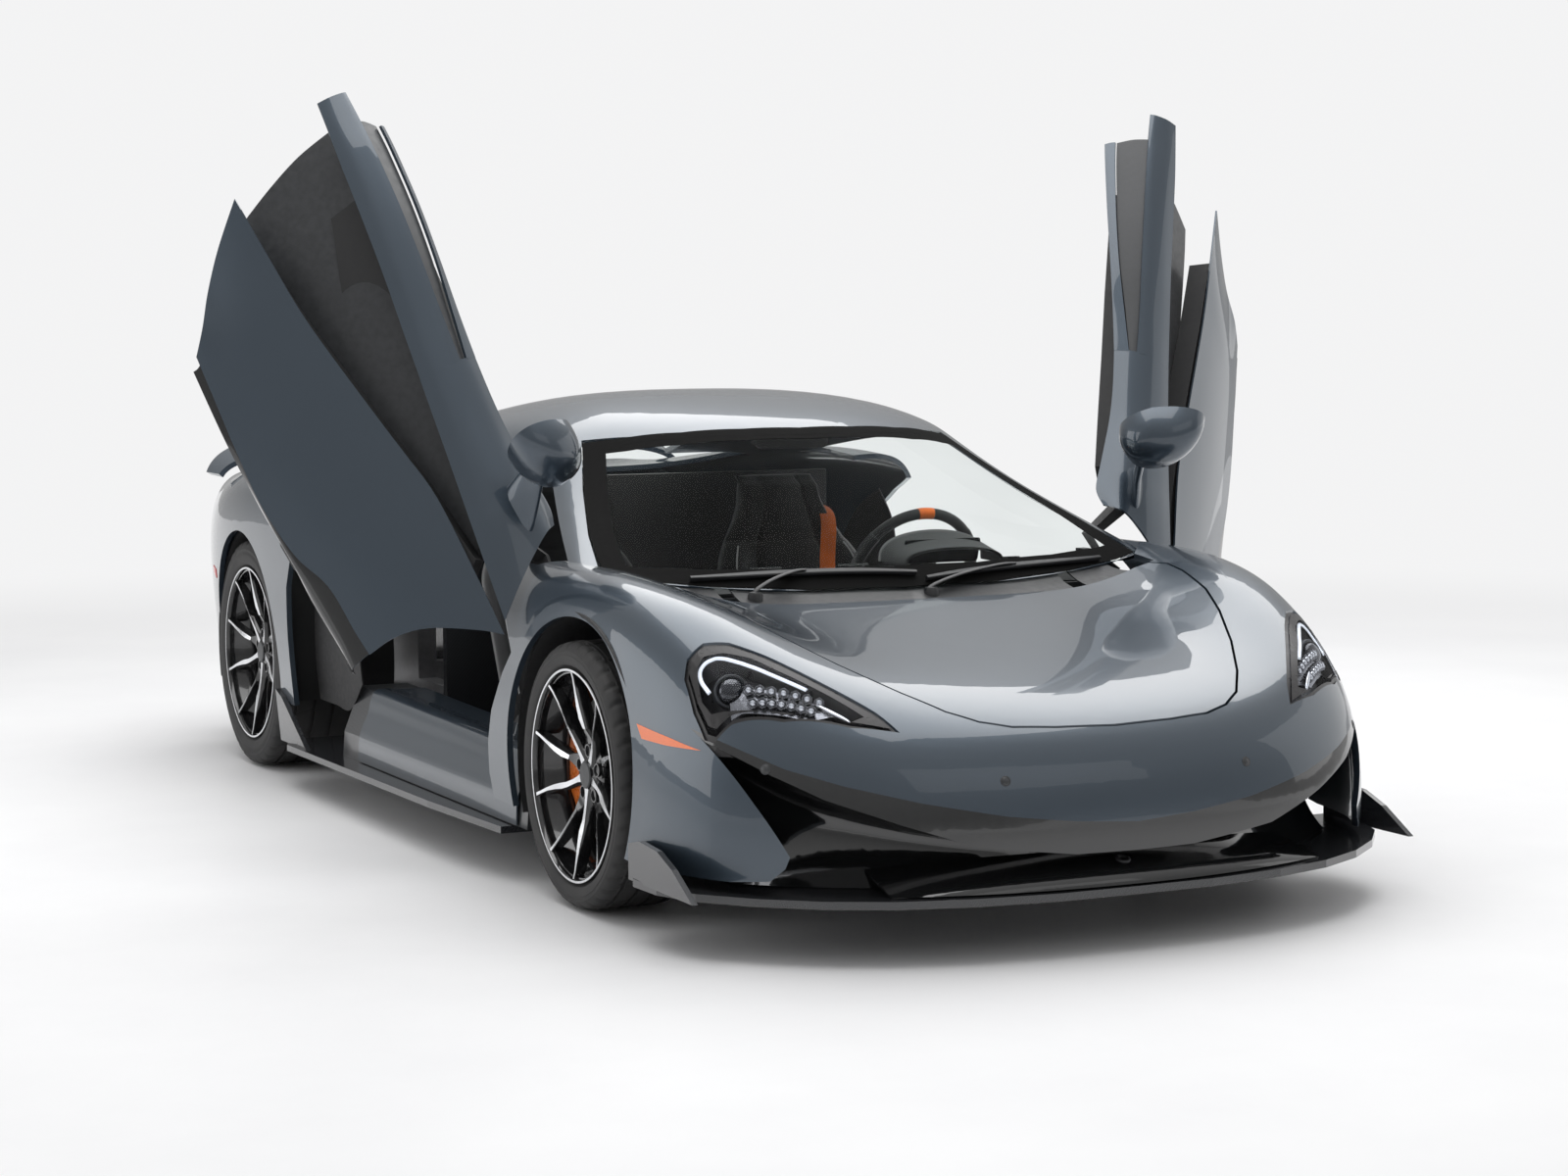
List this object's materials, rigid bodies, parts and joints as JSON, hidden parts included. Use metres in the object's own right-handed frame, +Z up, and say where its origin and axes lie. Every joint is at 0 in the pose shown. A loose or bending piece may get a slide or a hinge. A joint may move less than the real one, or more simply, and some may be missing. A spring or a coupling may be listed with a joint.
{
  "type": "mid-engined sports car",
  "caption": "Low two-seat mid-engined car with upward-swinging doors, sculpted body panels, front splitter, rear wing and thin-spoke wheels.",
  "frame": {"origin": "on the floor under the middle of the car, between the tyres", "axes": "+Z up, -Y towards the nose, +X towards the left side of the car"},
  "size_m": [3.1732, 4.6, 1.9525],
  "materials": {
    "paint": "clear-coated slate grey metallic",
    "gloss_black": "gloss black",
    "trim": "grained black",
    "carbon": "satin composite",
    "alloy": "as cast",
    "steel": "heat tinted",
    "rim": "diamond cut faces on gloss black",
    "tyre": "matt rubber",
    "clear": "clear",
    "tinted": "tinted",
    "lamp": "dark satin with bright reflectors",
    "red_lamp": "red",
    "suede": "suede",
    "caliper": "orange"
  },
  "bodies": {
    "chassis": {"nose_panel": "paint", "bumper_corners": "paint", "nose_duct": "gloss_black", "front_splitter": "gloss_black", "fender_left": "paint", "fender_right": "paint", "headlamps": "lamp", "headlamp_covers": "clear", "windscreen": "tinted", "rear_window": "tinted", "roof_panel": "paint", "quarter_left": "paint", "quarter_right": "paint", "rear_deck": "paint", "rear_bumper": "paint", "rear_wing": "paint", "rear_diffuser": "gloss_black", "tail_lamps": "red_lamp", "exhaust": "steel", "floor_pan": "alloy", "monocell": "carbon", "subframes": "alloy", "engine_block": "alloy", "luggage_well": "trim", "wheel_housings": "trim", "side_skirts": "gloss_black", "seats": "suede", "dashboard": "suede", "front_suspension": "alloy", "rear_suspension": "alloy"},
    "bonnet": {"bonnet": "paint"},
    "door_left": {"door_left_skin": "paint", "door_left_inner": "trim", "door_left_mirror": "paint"},
    "door_right": {"door_right_skin": "paint", "door_right_inner": "trim", "door_right_mirror": "paint"},
    "steering_wheel": {"steering_wheel": "suede"},
    "knuckle_left": {"knuckle_left": "caliper"},
    "knuckle_right": {"knuckle_right": "caliper"},
    "wheel_front_left": {"front_left_rim": "rim", "front_left_tyre": "tyre"},
    "wheel_front_right": {"front_right_rim": "rim", "front_right_tyre": "tyre"},
    "wheel_rear_left": {"rear_left_rim": "rim", "rear_left_tyre": "tyre"},
    "wheel_rear_right": {"rear_right_rim": "rim", "rear_right_tyre": "tyre"}
  },
  "joints": [
    {"name": "door_left", "type": "hinge", "parent": "chassis", "child": "door_left", "pos_m": [0.788, -0.872, 0.721], "axis": [0.6723, -0.4192, -0.6102], "range_deg": [-71.4, 0]},
    {"name": "door_right", "type": "hinge", "parent": "chassis", "child": "door_right", "pos_m": [-0.788, -0.872, 0.721], "axis": [0.6723, 0.4192, 0.6102], "range_deg": [-71.4, 0]},
    {"name": "bonnet", "type": "hinge", "parent": "chassis", "child": "bonnet", "pos_m": [0, -1.202, 0.672], "axis": [-1, 0, 0], "range_deg": [0, 50]},
    {"name": "steer_left", "type": "hinge", "parent": "chassis", "child": "knuckle_left", "pos_m": [0.76, -1.279, 0.32], "axis": [-0.1599, 0.07, 0.9846], "range_deg": [-30, 30]},
    {"name": "steer_right", "type": "hinge", "parent": "chassis", "child": "knuckle_right", "pos_m": [-0.76, -1.279, 0.32], "axis": [0.1599, 0.07, 0.9846], "range_deg": [-30, 30]},
    {"name": "steering_wheel", "type": "hinge", "parent": "chassis", "child": "steering_wheel", "pos_m": [0.37, -0.557, 0.7], "axis": [0, 0.9063, 0.4226], "range_deg": [-420, 420]},
    {"name": "spin_front_left", "type": "hinge", "parent": "knuckle_left", "child": "wheel_front_left", "pos_m": [0.828, -1.279, 0.32], "axis": [1, 0, 0], "continuous": true},
    {"name": "spin_front_right", "type": "hinge", "parent": "knuckle_right", "child": "wheel_front_right", "pos_m": [-0.828, -1.279, 0.32], "axis": [1, 0, 0], "continuous": true},
    {"name": "spin_rear_left", "type": "hinge", "parent": "chassis", "child": "wheel_rear_left", "pos_m": [0.806, 1.391, 0.354], "axis": [1, 0, 0], "continuous": true},
    {"name": "spin_rear_right", "type": "hinge", "parent": "chassis", "child": "wheel_rear_right", "pos_m": [-0.806, 1.391, 0.354], "axis": [1, 0, 0], "continuous": true}
  ],
  "couplings": [
    {"joint": "steer_right", "follows": "steer_left", "ratio": 1},
    {"joint": "steering_wheel", "follows": "steer_left", "ratio": 14}
  ]
}
